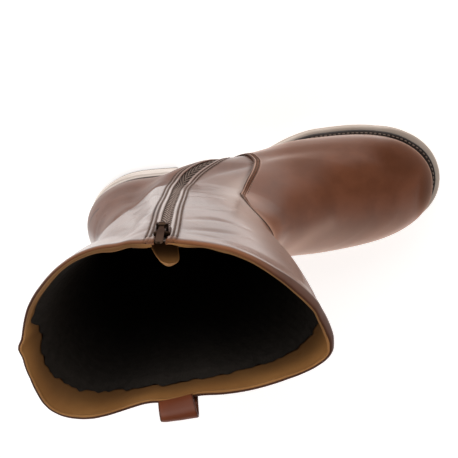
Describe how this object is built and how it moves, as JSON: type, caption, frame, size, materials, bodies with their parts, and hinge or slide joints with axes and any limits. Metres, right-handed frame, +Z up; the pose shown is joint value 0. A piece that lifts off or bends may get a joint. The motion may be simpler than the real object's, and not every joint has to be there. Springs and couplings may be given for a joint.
{
  "type": "heeled zip boot",
  "caption": "Leather boot for the right foot with a hollow mid-calf shaft, a side zip with a hinged pull tab, a collar pull loop, a welted sole and a block heel.",
  "frame": {"origin": "on the floor, under the middle of the boot's box", "axes": "+X towards the toe, +Y towards the medial side with the zip, +Z up the shaft"},
  "size_m": [0.3032, 0.0998, 0.2971],
  "materials": {
    "upper_leather": "burnished brown, semi-gloss, creased",
    "vamp_leather": "burnished brown, semi-gloss",
    "welt_leather": "dark brown with stitches",
    "sole_rubber": "beige, matte",
    "heel_stack": "beige stacked layers",
    "top_lift_rubber": "dark, matte",
    "insole_cover": "near-black napped cloth",
    "zip_cloth": "grey woven tape",
    "guard_leather": "tan, matte",
    "slider_metal": "antique, worn",
    "pull_metal": "antique, worn",
    "loop_leather": "red-brown, semi-gloss"
  },
  "bodies": {
    "boot": {"upper": "upper_leather", "vamp": "vamp_leather", "welt": "welt_leather", "sole": "sole_rubber", "heel": "heel_stack", "top_lift": "top_lift_rubber", "insole": "insole_cover", "zip_tape": "zip_cloth", "zip_guard": "guard_leather", "zip_slider": "slider_metal", "pull_loop": "loop_leather"},
    "pull_tab": {"zip_pull": "pull_metal"}
  },
  "joints": [
    {"name": "pull_tab_hinge", "type": "hinge", "parent": "boot", "child": "pull_tab", "pos_m": [-0.07409, 0.04809, 0.27224], "axis": [-0.9925, 0.0818, -0.0906], "range_deg": [0, 190]}
  ]
}
